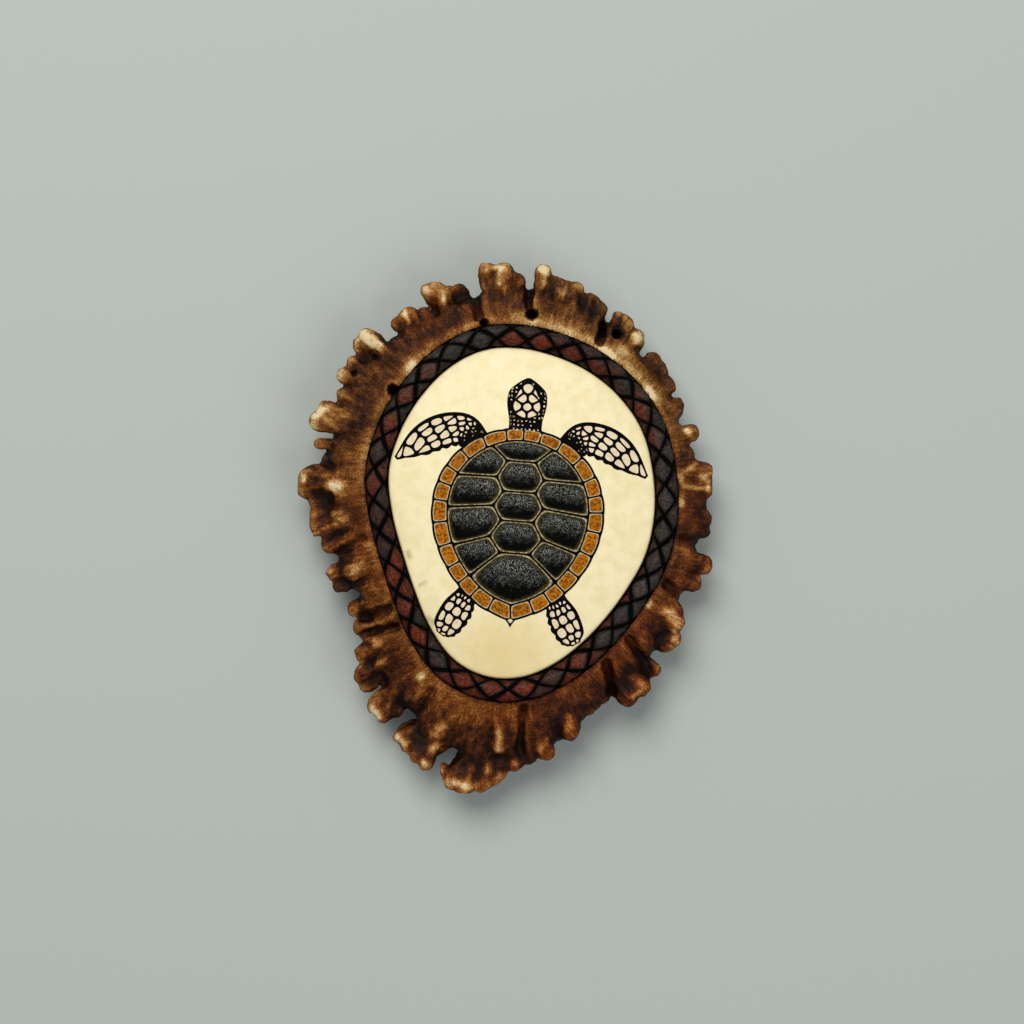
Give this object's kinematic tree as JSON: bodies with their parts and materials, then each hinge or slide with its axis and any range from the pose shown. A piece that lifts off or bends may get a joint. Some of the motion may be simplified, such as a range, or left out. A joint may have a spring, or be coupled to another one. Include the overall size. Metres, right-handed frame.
{
  "type": "engraved antler burr",
  "caption": "Slice of an antler burr with a knobby brown flange, lying on its sawn back; its polished egg-shaped face carries an inked sea turtle and is edged with braided leather lace.",
  "frame": {"origin": "middle of the sawn flat back, under the middle of the polished face", "axes": "+Z out of the polished face, +Y along the face's long axis towards the turtle's head, +X to the right as the face is seen"},
  "size_m": [0.0734, 0.0937, 0.0158],
  "materials": {
    "antler_bark": "satin, mottled brown antler with cream worn pearls",
    "antler_face": "polished cream antler, soft satin sheen",
    "ink_black": "black ink rubbed into engraved lines",
    "ink_orange": "orange-brown ink on the shell's edge plates",
    "braided_leather": "waxed near-black and mahogany leather strands"
  },
  "bodies": {
    "root": {"antler_burr": "antler_bark", "leather_braid": "braided_leather"}
  },
  "joints": []
}
